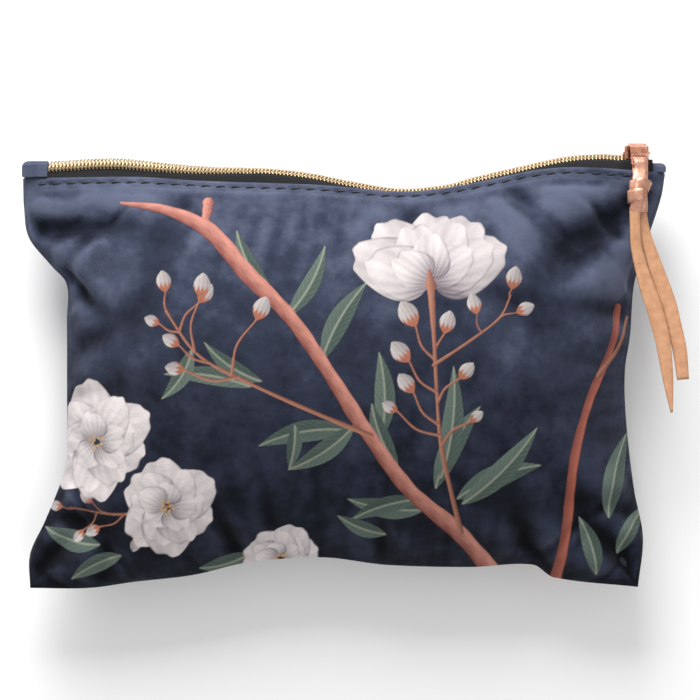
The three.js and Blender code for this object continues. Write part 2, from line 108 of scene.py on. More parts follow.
LEFT_EDGE = [
    (-83.3, -119.9), (-70.3, -119.9), (-57.7, -114.2), (-41.6, -107.7), (-32.9, -105.8), (-7.3, -105.8),
    (19.1, -105.8), (33, -106), (40, -112), (50.4, -120.3), (61.5, -122.2), (72.6, -122.6),
]
RIGHT_EDGE = [
    (-82.9, 112.3), (-63.8, 114.2), (-45.5, 110.8), (-18.3, 107.7), (-0.4, 107.3), (13.4, 109.3),
    (32.5, 110.8), (47, 115), (65.7, 121.1), (74.5, 122.6),
]
BOTTOM_EDGE = [
    (-119.9, -83.3), (-97.4, -83.3), (-80.2, -81), (-57.3, -78.3), (-37.4, -73.7), (-8.8, -71.6),
    (16.4, -74.5), (48.5, -75.3), (72.2, -74.4), (80, -79.2), (112.3, -82.9),
]
FRONT_FOLD = [
    (-122.6, 72.6), (-80.2, 73.3), (-54.6, 71.8), (-12.2, 70.3), (2.3, 69.1), (21.8, 67.6), (37.8, 68.8),
    (57.7, 72.6), (72.2, 75.6), (84.8, 76.8), (98.2, 76.4), (109.3, 75.6), (122.6, 74.5),
]
BACK_FOLD = [
    (-122.6, 72.6), (-112, 73.6), (-97, 80.2), (-80, 79), (-55, 74.5), (-29, 73), (2, 69), (22, 66.2),
    (45, 68), (67, 73.5), (85, 77), (98, 77.6), (110, 76), (122.6, 74.5),
]
CHAIN_LINE = [
    (-122.6, 76.4), (-113, 77), (-88.6, 78.3), (-71.8, 77), (-54.6, 75.6), (-29, 74.9), (-12.2, 73),
    (2.3, 70.1), (21.8, 67.2), (39.7, 68.8), (48.9, 71.4), (66.9, 75.6), (84.8, 79.4), (98.2, 80.4),
    (105, 80), (118, 80), (122.6, 78),
]
FRONT_GAPE = [
    (-122.6, 4.2), (-100, 4.2), (-60, 4.4), (-29, 4.8), (0, 6), (22, 6.4), (55, 6.4), (85, 5.8), (98, 6),
    (106, 6.6), (122.6, 6.6),
]
BACK_GAPE = [
    (-122.6, 4.2), (-100, 5.6), (-60, 5.6), (0, 6), (22, 6.4), (85, 5.8), (98, 6), (106, 6.6), (122.6, 6.6),
]


# --- shape ---

def smooth_line(points, x):
    """y(x) on a smooth line through points whose first coordinate increases."""
    px, py = np.array(points, float).T
    x = np.clip(np.asarray(x, float), px[0], px[-1])
    slope = np.empty_like(px)
    slope[1:-1] = (py[2:] - py[:-2]) / (px[2:] - px[:-2])
    slope[0] = (py[1] - py[0]) / (px[1] - px[0])
    slope[-1] = (py[-1] - py[-2]) / (px[-1] - px[-2])
    i = np.clip(np.searchsorted(px, x, side="left") - 1, 0, len(px) - 2)
    run = px[i + 1] - px[i]
    t = (x - px[i]) / run
    ease = t * t * (3 - 2 * t)
    leave = t * (1 - t) ** 2 * run * slope[i]
    arrive = t * t * (t - 1) * run * slope[i + 1]
    return py[i] + (py[i + 1] - py[i]) * ease + leave + arrive


def mix(a, b, t):
    return a + (b - a) * t


def unit(vectors):
    return vectors / np.linalg.norm(vectors, axis=-1, keepdims=True)


def ramp(a, b, x):
    t = np.clip((np.asarray(x, float) - a) / (b - a), 0, 1)
    return t * t * (3 - 2 * t)


def turned(x, y, degrees):
    """Coordinates along and across a direction."""
    c, s = math.cos(math.radians(degrees)), math.sin(math.radians(degrees))
    return x * c + y * s, -x * s + y * c


def polar(centre, angle, far):
    """A point at a distance from another, at an angle in radians."""
    return centre[0] + far * math.cos(angle), centre[1] + far * math.sin(angle)


def hump(t, sharpness, steepness):
    return np.maximum(1 - np.abs(2 * t - 1) ** sharpness, 0) ** steepness


def pressed(height):
    """A dome's top pressed flat where it would pass the floor."""
    bent = height - (height - 0.8) ** 2 / 0.8
    return np.where(height <= 0.8, height, np.where(height >= 1.2, 1, bent))


def waves(x, seed, octaves=4):
    """Smooth, irregular ripples in one direction, about -1 to 1, with a wavelength of roughly 6."""
    total = np.zeros_like(np.asarray(x, float))
    for k in range(octaves):
        drift = 0.9 * np.sin(x * 0.37 * (k + 1) + seed)
        total += np.sin(x * (1 + 0.62 * k) + seed * (1.7 + k) + drift) / (1 + 0.7 * k)
    return total / 2


def gape(side, x):
    line = FRONT_GAPE if side > 0 else BACK_GAPE
    along = 2 * (x - LEFT) / (RIGHT - LEFT) - 1
    return smooth_line(line, x) * np.sqrt(np.maximum(1 - np.abs(along) ** 24, 0))


def plain_skin(side, u, v):
    """Points of the pouch's outer skin as the CAD model has them, before the folds."""
    fold = FRONT_FOLD if side > 0 else BACK_FOLD
    top_x = mix(LEFT, RIGHT, u)
    bottom_x = mix(BOTTOM_LEFT[0], BOTTOM_RIGHT[0], u)
    fold_left, fold_right = smooth_line(fold, LEFT), smooth_line(fold, RIGHT)
    left_y = mix(BOTTOM_LEFT[1], fold_left, v)
    right_y = mix(BOTTOM_RIGHT[1], fold_right, v)
    x = mix(bottom_x, top_x, v) + mix(smooth_line(LEFT_EDGE, left_y), smooth_line(RIGHT_EDGE, right_y), u)
    x -= mix(bottom_x, top_x, v)
    y = mix(smooth_line(BOTTOM_EDGE, bottom_x), smooth_line(fold, top_x), v) + mix(left_y, right_y, u)
    y -= mix(mix(BOTTOM_LEFT[1], BOTTOM_RIGHT[1], u), mix(fold_left, fold_right, u), v)
    dome = hump(u, 2.4, 0.75) * hump(v, 2.6, 0.8)
    depth = FRONT_DEPTH * dome if side > 0 else BACK_DEPTH * pressed(BACK_FLATNESS * dome)
    height = np.minimum(gape(side, top_x) * v**6 + depth, FRONT_DEPTH if side > 0 else BACK_DEPTH)
    return np.stack([x, y, side * height], -1)


# Folds that the filling leaves in the cloth: [x, y, direction in degrees, length, width, depth]
FRONT_CREASES = [
    (-124, 54, -5, 58, 4.2, 5.0), (-104, 35, -52, 26, 2.6, 3.0), (-112, 67, -18, 40, 3.4, 1.3),
    (114, 64, 209, 66, 6.0, 4.6), (118, 56, 250, 34, 3.0, 2.0), (110, 22, 170, 36, 3.8, 2.0),
    (-114, -54, -16, 34, 3.2, 2.6), (-120, -78, 36, 40, 3.4, 2.6), (-92, -82, 74, 28, 3.0, 1.8),
    (112, -78, 130, 52, 4.2, 3.2), (108, -54, 160, 34, 3.4, 2.0), (74, -77, 106, 38, 3.4, 2.6),
    (-40, -76, 98, 32, 3.4, 1.9), (14, -76, 84, 28, 3.2, 1.6), (-106, -10, 6, 32, 3.6, 1.8),
    (26, 62, -98, 40, 6.0, 2.2), (64, 70, -58, 38, 4.6, 2.0), (-60, 66, -120, 44, 6.0, 1.5),
    (-100, 8, 26, 44, 5.0, 1.6), (58, 30, -40, 46, 6.0, 1.6),
]
BACK_CREASES = [
    (-120, 58, -22, 44, 3.6, 3.0), (112, 60, 205, 44, 4.0, 3.0), (-116, -76, 42, 40, 3.4, 2.4),
    (110, -76, 136, 40, 3.6, 2.4), (-106, 0, 4, 26, 3.4, 1.6), (108, 6, 176, 26, 3.4, 1.6),
    (-30, -74, 92, 24, 3.2, 1.6), (46, -75, 96, 24, 3.0, 1.4),
]


def edge_distances(u, v):
    """Distances from the left, right, bottom and top edges."""
    width, height = PANEL
    return u * width, (1 - u) * width, v * height, (1 - v) * height


def puckers(side, u, v, x, y):
    """How far the cloth stands proud where its seams gather it, and in soft lumps over the filling."""
    from_left, from_right, from_bottom, from_top = edge_distances(u, v)
    proud = 0.8 * np.exp(-from_left / 16) * waves(y / 5.2, 1.3 * side)
    proud += 0.8 * np.exp(-from_right / 15) * waves(y / 5.8, 4.1 * side)
    proud += 0.8 * np.exp(-from_bottom / 14) * waves(x / 5.5, 2.2 * side)
    proud += 0.4 * np.exp(-from_top / 24) * waves(x / 7.5, 5.3 * side)
    lumps = 0.9 * waves(x / 17 + y / 46, 0.7 * side, 3) * waves(y / 15 - x / 60, 2.9 * side, 3)
    inside = np.minimum(np.minimum(from_left, from_right), np.minimum(from_bottom, from_top))
    return proud * (1 - np.exp(-inside / 2.6)) + lumps * ramp(4, 34, inside)


def creases(side, u, v, x, y):
    """How far the cloth stands proud beside its folds, and how deep it sinks in them."""
    proud = np.zeros_like(x)
    for cx, cy, turn, length, wide, deep in FRONT_CREASES if side > 0 else BACK_CREASES:
        along, across = turned(x - cx, y - cy, turn)
        across = across - 0.10 * along * np.sin(along / length * 2)
        spread = wide * (1 + 0.6 * np.clip(along / length, 0, 1))
        valley = np.exp(-((across / spread) ** 2))
        ridges = np.exp(-(((np.abs(across) - 2.1 * spread) / (1.2 * spread)) ** 2))
        fade = ramp(-8, 3, along) * (1 - ramp(length * 0.35, length, along))
        proud -= deep * (valley - 0.5 * ridges) * fade
    *sides, from_top = edge_distances(u, v)
    return proud * ramp(0.5, 9, np.min(sides, axis=0)) * ramp(3, 11, from_top)


def puckered_skin(side, u, v, thickness=1.0):
    """The plain skin with its puckers, and its outward normal."""
    p = plain_skin(side, u, v)
    step = 1e-3
    du = plain_skin(side, np.clip(u + step, 0, 1), v) - plain_skin(side, np.clip(u - step, 0, 1), v)
    dv = plain_skin(side, u, np.clip(v + step, 0, 1)) - plain_skin(side, u, np.clip(v - step, 0, 1))
    normal = np.cross(du, dv) * side
    normal /= np.linalg.norm(normal, axis=-1, keepdims=True) + 1e-12
    amount = puckers(side, u, v, p[..., 0], p[..., 1])
    p[..., 2] *= mix(thickness, 1, ramp(0.9, 1, v))
    return p + normal * amount[..., None], normal


def sample(grid, u, v):
    """Values of an even grid at any u and v, by cubic interpolation."""
    rows, columns = grid.shape[:2]
    total = np.zeros((*u.shape, grid.shape[2]))
    a, b = v * (rows - 1), u * (columns - 1)
    i, j = np.minimum(a.astype(int), rows - 2), np.minimum(b.astype(int), columns - 2)
    weights = []
    for t in (a - i, b - j):
        before, after = ((2 - t) * t - 1) * t / 2, (t - 1) * t * t / 2
        weights.append([before, ((3 * t - 5) * t * t + 2) / 2, ((4 - 3 * t) * t + 1) * t / 2, after])
    for m in range(4):
        for n in range(4):
            picked = grid[np.clip(i + m - 1, 0, rows - 1), np.clip(j + n - 1, 0, columns - 1)]
            total += (weights[0][m] * weights[1][n])[..., None] * picked
    return total


def settle(side):
    """Blows up one side of the pouch as cloth sewn along its edges, and keeps how far each point moved."""
    uu, vv = np.meshgrid(np.linspace(0, 1, CLOTH_COLUMNS), np.linspace(0, 1, CLOTH_ROWS))
    full = puckered_skin(side, uu, vv)[0]
    start = puckered_skin(side, uu, vv, CLOTH_START[side])[0]
    mesh = bpy.data.meshes.new("cloth")
    faces = grid_faces(CLOTH_ROWS, CLOTH_COLUMNS, flip=side < 0)
    mesh.from_pydata((start.reshape(-1, 3) * CLOTH_SCALE / 1000).tolist(), [], faces.tolist())
    obj = link("cloth", mesh)
    sewn = (uu == 0) | (uu == 1) | (vv == 0) | (vv > 0.97)
    obj.vertex_groups.new(name="sewn").add([int(i) for i in np.flatnonzero(sewn)], 1.0, "REPLACE")
    cloth = obj.modifiers.new("cloth", "CLOTH")
    cloth.point_cache.frame_start, cloth.point_cache.frame_end = 1, CLOTH_FRAMES
    cloth.collision_settings.use_collision = False
    for key, value in CLOTH_SETTINGS.items():
        setattr(cloth.settings, key, value)
    cloth.settings.vertex_group_mass = "sewn"
    cloth.settings.effector_weights.gravity = 0
    for number in range(1, CLOTH_FRAMES + 1):
        bpy.context.scene.frame_set(number)
    result = obj.evaluated_get(bpy.context.evaluated_depsgraph_get()).data
    end = np.empty(CLOTH_ROWS * CLOTH_COLUMNS * 3, np.float32)
    result.vertices.foreach_get("co", end)
    bpy.data.objects.remove(obj)
    bpy.context.scene.frame_set(1)
    moved = end.reshape(start.shape).astype(float) * 1000 / CLOTH_SCALE - full
    moved[1:-1] = (moved[:-2] + 2 * moved[1:-1] + moved[2:]) / 4
    moved[:, 1:-1] = (moved[:, :-2] + 2 * moved[:, 1:-1] + moved[:, 2:]) / 4
    moved[sewn] = 0
    moved *= ramp(4, 18, edge_distances(uu, vv)[3])[..., None]
    far = np.linalg.norm(moved, axis=-1, keepdims=True) + 1e-9
    return moved * np.tanh(far / CLOTH_CAP) * CLOTH_CAP / far


def skin(side, u, v):
    """The outer skin as the filled cloth settles, and its outward normal before it settled."""
    p, normal = puckered_skin(side, u, v)
    if side in settled:
        p = p + sample(settled[side], u, v)
    p = p + normal * creases(side, u, v, p[..., 0], p[..., 1])[..., None]
    if side > 0:
        # the thong runs over both upper corners, so the cloth stays low under its path
        covered = (ramp(-70, -90, p[..., 0]) + ramp(92, 107, p[..., 0])) * ramp(-34, -6, p[..., 1])
        proud = p[..., 2] - plain_skin(side, u, v)[..., 2] - THONG_ROOM
        p[..., 2] -= covered * (proud + np.sqrt(proud**2 + 4)) / 2
    if side < 0:
        p[..., 2] = np.maximum(p[..., 2], -BACK_DEPTH)
    return p, normal


def nested(points, depth):
    """Points moved inwards to a layer that lies a given depth inside the skin."""
    out = np.array(points, float)
    out[..., 0] *= 1 - depth / NEST[0]
    out[..., 1] = CENTRE_Y + (out[..., 1] - CENTRE_Y) * (1 - depth / NEST[1])
    out[..., 2] *= 1 - depth / NEST[2]
    return out


def chain_point(x, across, out):
    """A point beside the zip chain: across runs towards the front tape and out away from the pouch."""
    roll = np.radians(45 * (1 - ramp(-85, -25, x)))
    base = smooth_line(CHAIN_LINE, x)
    y = base - across * np.sin(roll) + out * np.cos(roll)
    z = across * np.cos(roll) + out * np.sin(roll)
    return np.stack(np.broadcast_arrays(x, y, z), -1)


def coil_spread(x):
    return SPREAD * ramp(SLIDER_X + 0.2, SLIDER_X + 2.8, x)


# --- meshes ---

def new_object(name, verts, faces):
    """An object from points in the drawing frame, in millimetres."""
    mesh = bpy.data.meshes.new(name)
    placed = (np.asarray(verts, float).reshape(-1, 3) + SHIFT) / 1000
    mesh.from_pydata(placed.tolist(), [], faces if isinstance(faces, list) else faces.tolist())
    mesh.polygons.foreach_set("use_smooth", [True] * len(mesh.polygons))
    mesh.update()
    return link(name, mesh)


def link(name, data):
    """A new object in the scene."""
    obj = bpy.data.objects.new(name, data)
    bpy.context.collection.objects.link(obj)
    return obj


def grid_faces(rows, columns, flip=False, closed=False):
    """Quads of a grid of points, row by row. closed joins the last column to the first."""
    a = np.arange(rows * columns).reshape(rows, columns)
    if closed:
        a = np.hstack([a, a[:, :1]])
    quads = np.stack([a[:-1, :-1], a[:-1, 1:], a[1:, 1:], a[1:, :-1]], -1).reshape(-1, 4)
    return quads[:, ::-1] if flip else quads


def tube_set(paths, radii, sides):
    """Points and faces of many short tubes with closed ends. radii holds one list per path."""
    verts, faces, count = [], [], 0
    turn = np.linspace(0, 2 * math.pi, sides, endpoint=False)
    for path, radius in zip(paths, radii):
        path = np.asarray(path, float)
        along = unit(np.gradient(path, axis=0))
        ref = np.where(np.abs(along[:, 2:]) < 0.8, [[0, 0, 1.0]], [[1.0, 0, 0]])
        across = unit(np.cross(along, ref))
        lift = np.cross(across, along)
        ring = across[:, None] * np.cos(turn)[None, :, None] + lift[:, None] * np.sin(turn)[None, :, None]
        ring = path[:, None] + ring * np.asarray(radius, float)[:, None, None]
        verts.append(ring.reshape(-1, 3))
        faces += (grid_faces(len(path), sides, closed=True) + count).tolist()
        last = count + (len(path) - 1) * sides
        faces.append([count + k for k in range(sides)])
        faces.append([last + k for k in reversed(range(sides))])
        count += len(path) * sides
    return np.concatenate(verts), faces


STRAP_SECTION = np.array([
    (-1, -0.5), (-0.93, -0.95), (-0.4, -1), (0.4, -1), (0.93, -0.95), (1, -0.5),
    (1, 0.5), (0.93, 0.95), (0.4, 1), (-0.4, 1), (-0.93, 0.95), (-1, 0.5),
])


def resample(points, count):
    """Evenly spaced points on a smooth curve through the given ones."""
    points = np.asarray(points, float)
    at = np.concatenate([[0], np.cumsum(np.linalg.norm(np.diff(points, axis=0), axis=1))])
    fine = np.linspace(0, at[-1], 400)
    curve = np.stack([smooth_line(list(zip(at, points[:, k])), fine) for k in range(3)], -1)
    length = np.concatenate([[0], np.cumsum(np.linalg.norm(np.diff(curve, axis=0), axis=1))])
    even = np.linspace(0, length[-1], count)
    return np.stack([np.interp(even, length, curve[:, k]) for k in range(3)], -1)


# --- print ---

def linear(r, g, b):
    """An sRGB colour, 0 to 255, as linear light."""
    c = np.array([r, g, b]) / 255
    return np.where(c <= 0.04045, c / 12.92, ((c + 0.055) / 1.055) ** 2.4)


def shades(dark, light, amount):
    """Colours from dark to light, one for each amount."""
    return mix(dark, light, np.clip(amount, 0, 1)[:, None])


class Print:
    """Paints botanical shapes onto points of the cloth: a colour and how much of it covers the ground."""

    def __init__(self, x, y):
        self.x, self.y = x.ravel(), y.ravel()
        self.colour = np.zeros((self.x.size, 3))
        self.cover = np.zeros(self.x.size)

    def near(self, points, reach):
        """Which points of the cloth lie in the box round some points, widened by reach."""
        (low_x, low_y), (high_x, high_y) = np.min(points, 0) - reach, np.max(points, 0) + reach
        inside = (self.x > low_x) & (self.x < high_x) & (self.y > low_y) & (self.y < high_y)
        return np.flatnonzero(inside)

    def around(self, base, reach, turn):
        """The points of the cloth near a base point, and how far along and across a direction they lie."""
        index = self.near([base], reach)
        return index, *turned(self.x[index] - base[0], self.y[index] - base[1], turn)

    def lay(self, index, amount, colour):
        amount = np.clip(amount, 0, 1)
        self.colour[index] = mix(self.colour[index], colour, amount[:, None])
        self.cover[index] = np.maximum(self.cover[index], amount)

    def stroke(self, points, half_widths, dark, light, grain=0.0):
        """A branch or twig with a lit upper edge."""
        path = resample([(*p, 0) for p in points], max(12, 6 * len(points)))[:, :2]
        wide = np.interp(np.linspace(0, 1, len(path)), np.linspace(0, 1, len(half_widths)), half_widths)
        index = self.near(path, max(half_widths) + 1)
        if not index.size:
            return
        px, py = self.x[index], self.y[index]
        best = np.full(index.size, 1e9)
        side, along, width = np.zeros(index.size), np.zeros(index.size), np.ones(index.size)
        for k in range(len(path) - 1):
            ax, ay = path[k]
            bx, by = path[k + 1] - path[k]
            length = math.hypot(bx, by)
            t = np.clip(((px - ax) * bx + (py - ay) * by) / length**2, 0, 1)
            dx, dy = px - ax - t * bx, py - ay - t * by
            distance = np.hypot(dx, dy)
            closer = distance < best
            best = np.where(closer, distance, best)
            side = np.where(closer, (bx * dy - by * dx) / length, side)
            along = np.where(closer, k + t, along)
            width = np.where(closer, mix(wide[k], wide[k + 1], t), width)
        width = width * (1 + 0.05 * np.sin(along * 0.8) + 0.03 * np.sin(along * 2.1))
        lit = np.clip(0.5 + 0.5 * side / width, 0, 1)
        lit = lit * (1 - 0.35 * ramp(0.75, 1, lit))
        streak = np.sin(side * 5 + 1.4 * np.sin(along * 0.9)) * np.sin(along * 2.3 + 3 * np.sin(side * 2))
        lit = lit + grain * streak
        self.lay(index, (width - best) / 0.35 + 0.5, shades(dark, light, lit))

    def leaf(self, x, y, turn, length, width, bend, tone=0.0):
        """A lance-shaped leaf with a pale midrib and one darker half."""
        index, along, across = self.around((x, y), length + width, turn)
        t = along / length
        across = across - bend * 4 * t * (1 - t)
        body = np.clip(t, 0, 1)
        half = width / 2 * np.sin(math.pi * body**0.85) ** 0.9 + 0.15
        edge = np.minimum((half - np.abs(across)) / 0.35 + 0.5, np.minimum(t, 1 - t) * length / 0.4 + 0.5)
        veins = 0.5 + 0.5 * np.sin((t * length - np.abs(across) * 1.6) * 2.2)
        dark = mix(linear(34, 46, 46), linear(52, 64, 60), 0.5 + tone)
        light = mix(linear(78, 94, 88), linear(106, 120, 110), 0.5 + tone)
        shade = 0.25 + 0.35 * (across > 0) + 0.18 * veins + 0.15 * np.abs(across) / (half + 0.1)
        colour = shades(dark, light, shade)
        rib = np.exp(-((across / (0.32 + 0.1 * (1 - body))) ** 2))[:, None]
        colour = mix(colour, linear(154, 158, 138), 0.75 * rib)
        self.lay(index, edge, colour)

    def petal(self, base, turn, length, width, shade=0.0, seed=0.0):
        """A broad ruffled petal, white at its rim and grey-lilac towards its base."""
        index, along, across = self.around(base, length + width, turn)
        t, across = along / length, across / (width / 2)
        spread = across / np.maximum(0.3 + 0.7 * np.sin(np.clip(t, 0, 1) * 1.9), 0.1)
        rim = 1 - 0.22 * np.abs(across) ** 2.4
        rim = rim + 0.035 * np.sin(across * 6 + seed) + 0.012 * np.sin(across * 14 + seed)
        half = np.sin(np.clip(t / 1.12, 0, 1) ** 0.62 * math.pi) ** 0.62
        edge = np.minimum((rim - t) * length / 0.4 + 0.5, (half - np.abs(across)) * width / 2 / 0.4 + 0.5)
        edge = np.minimum(edge, t * length / 0.4 + 0.5)
        veins = 0.5 + 0.5 * np.sin(spread * 16 + seed * 3 + 1.2 * t)
        ruffle = np.sin(spread * 5 + seed) * ramp(0.3, 1, t)
        light = 0.97 - 0.58 * np.exp(-((t / 0.42) ** 2)) - shade + 0.12 * ruffle
        light = light - 0.20 * veins * (1 - 0.7 * t) - 0.44 * np.clip(1 - edge / 2.8, 0, 1) * (across < 0)
        self.lay(index, edge, shades(linear(100, 90, 97), linear(220, 211, 210), light))

    def blossom(self, centre, radius, seed, squash=1.0):
        """Rings of overlapping petals round a small heart of stamens."""
        for ring, (count, size, shade) in enumerate([(6, 1.0, 0.10), (6, 0.80, 0.04), (5, 0.56, 0.0)]):
            for k in range(count):
                turn = 360 * (k + 0.5 * ring) / count + 37 * seed + 9 * math.sin(3 * k + seed)
                rad = math.radians(turn)
                push = 0.10 * radius * size
                reach = radius * size * (0.93 + 0.1 * math.sin(2.3 * k + seed))
                reach *= mix(1, squash, abs(math.sin(rad)))
                tint = shade + 0.05 * math.sin(k * 1.7 + seed)
                self.petal(polar(centre, rad, push), turn, reach, radius * size * 1.06, tint, seed + k)
        for k in range(9):
            self.stamen(polar(centre, 2.4 * k + seed, radius * (0.06 + 0.012 * k)))

    def fan(self, base, radius, low, high, seed):
        """A blossom seen from the side: broad petals fanned up from a cup, the nearer ones shorter."""
        for count, size, shade in [(5, 1.0, 0.26), (4, 0.86, 0.17), (3, 0.62, 0.11)]:
            for k in range(count):
                turn = mix(low, high, (k + 0.5) / count) + 6 * math.sin(2.1 * k + seed)
                reach = radius * size * (0.94 + 0.09 * math.sin(1.7 * k + seed))
                tint = shade + 0.05 * math.sin(k + seed)
                self.petal(base, turn, reach, radius * size * 0.82, tint, seed + 2 * k)

    def stamen(self, centre):
        index, along, across = self.around(centre, 1.55, 0)
        self.lay(index, (0.55 - np.hypot(along, across)) / 0.35 + 0.5, linear(196, 160, 104))

    def bud(self, base, turn, length):
        """A closed bud: white petals on a small red-brown cup."""
        index, along, across = self.around(base, 12, turn)
        t = along / length
        half = 0.34 * length * np.sin(np.clip(t, 0, 1) * math.pi) ** 0.7
        edge = np.minimum((half - np.abs(across)) / 0.35 + 0.5, np.minimum(t, 1 - t) * length / 0.35 + 0.5)
        light = 0.62 + 0.3 * across / (half + 0.2) + 0.07 * np.sin(across * 4)
        colour = shades(linear(104, 94, 98), linear(196, 188, 184), light)
        cup = (1 - ramp(0.26, 0.46, t + 0.08 * np.sin(across * 4)))[:, None]
        self.lay(index, edge, mix(colour, linear(156, 98, 78), cup))


BARK = linear(118, 66, 58), linear(204, 142, 126)
TWIG = linear(112, 68, 58), linear(178, 126, 104)


def sprig(picture, path, buds, half_width=0.55):
    """A thin twig whose side stalks end in buds. Each bud is [share of the twig, turn, stalk, size]."""
    curve = resample([(*p, 0) for p in path], 40)[:, :2]
    picture.stroke(path, [half_width * 1.3, half_width * 0.7], *TWIG)
    for share, turn, stalk, size in buds:
        root = tuple(curve[int(share * 39)])
        tip = polar(root, math.radians(turn), stalk)
        middle = polar(root, math.radians(turn) + 0.25, 0.5 * stalk)
        picture.stroke([root, middle, tip], [half_width * 0.8, half_width * 0.55], *TWIG)
        picture.bud(tip, turn, size)


def paint_front(picture):
    """The front's print: a branch with leaves, two groups of blossoms and a stem at the right."""
    for leaf in [
        (-26, 26, 118, 30, 7, 2, -0.1), (-21, 20, 62, 30, 6.4, -2.2, 0.2), (-8, 4, 60, 33, 8, 1.8, 0.1),
        (-34, -6, 172, 33, 6.6, -2, 0.2), (-30, -4, 146, 26, 6, 2, -0.2), (-56, 8, 238, 22, 6.4, 2, 0.3),
        (2, -22, 190, 34, 8, -2.5, 0), (4, -20, 214, 30, 7.4, 2, 0.25), (-18, -20, 262, 17, 5.4, 0.8, -0.1),
        (14, -24, 92, 31, 7.6, -1.6, 0.3), (20, -36, 112, 26, 6.8, 1.6, -0.1), (34, -44, 62, 35, 8, 2.2, 0.1),
        (36, -40, 84, 42, 7.8, -2, 0.2), (42, -48, 22, 34, 8.8, 2.4, 0), (44, -50, 46, 40, 8.4, -2, 0.3),
        (30, -52, 172, 29, 7.6, 1.6, 0.2), (28, -48, 198, 27, 6.4, -1.6, -0.1),
        (100, -56, 76, 33, 8.4, 1.8, 0.2), (96, -78, 108, 24, 7.2, -1.4, 0),
        (104, -70, 58, 22, 6.4, 1.2, 0.3), (-92, -66, 164, 23, 8, 1.6, 0.1),
        (-84, -70, 206, 22, 6.6, -1.2, 0.3), (-36, -70, 196, 20, 7, 1.4, 0), (16, -62, 158, 20, 6, 1.2, 0.1),
    ]:
        picture.leaf(*leaf)
    picture.stroke([(-52, 55), (-51.4, 59), (-51, 63)], [1.6, 1.8, 2.2], *BARK, 0.14)
    picture.stroke([
        (-84, 63), (-66, 60), (-50, 52), (-36, 36), (-20, 20), (-6, 0), (8, -22), (24, -44), (44, -62),
        (62, -84),
    ], [0.6, 2.5, 3.3, 2.9, 2.5, 2.8, 2.6, 3.0, 3.2, 3.6], *BARK, 0.16)
    picture.stroke(
        [(104, 24), (101, 8), (92, -12), (86, -34), (84, -58), (80, -84)],
        [1.4, 1.6, 1.7, 1.9, 2.0, 2.2], BARK[0], linear(168, 96, 78), 0.10,
    )
    picture.stroke([(96, -2), (104, 8), (108, 20)], [1.0, 0.7], *TWIG)
    sprig(picture, [(10, -24), (-14, -14), (-36, -4), (-54, 6), (-66, 22)], [
        (0.99, 100, 9, 8.5), (0.90, 56, 13, 8.5), (0.80, 84, 20, 9.5), (0.74, 150, 13, 7.5),
        (0.62, 66, 22, 9.5), (0.60, 172, 20, 7.5), (0.9, 158, 8, 6.5),
    ], 0.75)
    sprig(picture, [(44, -61), (36, -28), (34, -4), (33, 16)], [
        (0.56, 128, 15, 9), (0.70, 132, 15, 10), (0.86, 120, 14, 11), (0.84, 74, 12, 9), (0.66, 48, 12, 8),
        (0.50, 150, 18, 6.5), (0.46, 40, 14, 6),
    ], 0.8)
    sprig(picture, [(-62, -50), (-84, -54), (-104, -52)], [
        (0.5, 208, 11, 6.5), (0.76, 232, 9, 5.5), (0.96, 176, 5, 6), (0.3, 250, 11, 6), (0.62, 148, 8, 6),
    ], 0.6)
    picture.stroke([(34, -4), (33, 16), (32, 34)], [0.7, 0.9, 1.8], *TWIG)
    picture.fan((32, 34), 29, -2, 182, 1.3)
    picture.stroke([(32.6, 26), (32, 33), (31.6, 37)], [0.9, 2.0, 0.5], *TWIG)
    picture.blossom((-93, -27), 19, 2.6, 1.15)
    picture.blossom((-66, -51), 18.5, 4.2, 0.95)
    picture.blossom((-24, -72), 15.5, 5.1, 0.8)
    sprig(picture, [(33, 2), (48, 12), (58, 20), (62, 28)], [
        (0.98, 78, 3, 9), (0.7, 24, 9, 7.5), (0.55, 104, 7, 8),
    ], 0.55)


def paint_back(picture):
    """The back carries the same kind of print, with a branch the other way and one group of blossoms."""
    for leaf in [
        (10, 14, 40, 34, 8, 2), (22, 2, 74, 30, 7, -2), (-6, 26, 150, 30, 7, 2), (-30, 40, 200, 30, 8, -2),
        (40, -24, 20, 34, 8, 2), (36, -30, 250, 26, 7, 1), (58, -44, 60, 30, 7, -2),
        (-60, -20, 100, 32, 8, 2), (-66, -40, 150, 30, 7, -2), (-56, -50, 40, 26, 7, 1),
        (80, 30, 300, 30, 8, 2),
    ]:
        picture.leaf(*leaf)
    picture.stroke([
        (-100, 62), (-50, 44), (-10, 24), (20, 0), (50, -34), (90, -80),
    ], [2.2, 3, 2.8, 3.2, 3.6], *BARK, 0.16)
    sprig(picture, [(20, 0), (48, 22), (72, 48)], [
        (0.5, 110, 12, 8), (0.8, 20, 12, 8), (0.98, 60, 4, 8),
    ], 0.8)
    picture.blossom((-62, -30), 24, 3.4)
    picture.blossom((64, 44), 20, 1.9)


def painted_fold_shading(side, grid, u, v):
    """Painted shade and highlight from the folds: 0.5 is none, more is painted lighter on ridges and crests,
    less is painted darker in the valleys.
    """
    uu, vv = np.meshgrid(u, v)
    proud = np.zeros(grid.shape[:2])
    proud[:len(v)] = creases(side, uu, vv, grid[:len(v), :, 0], grid[:len(v), :, 1])
    if side in settled:
        step = 4
        height = grid[..., 2] * side
        mean = height[:-2 * step, step:-step] + height[2 * step:, step:-step]
        mean = mean + height[step:-step, :-2 * step] + height[step:-step, 2 * step:]
        crest = height[step:-step, step:-step] - mean / 4
        # painted highlight on the settled cloth's crests and painted shade in its hollows
        proud[step:-step, step:-step] += np.clip(crest * 8, -1.5, 1.5)
        proud[len(v) - 12:] = 0
    return np.clip(0.5 + 0.16 * proud, 0, 1)


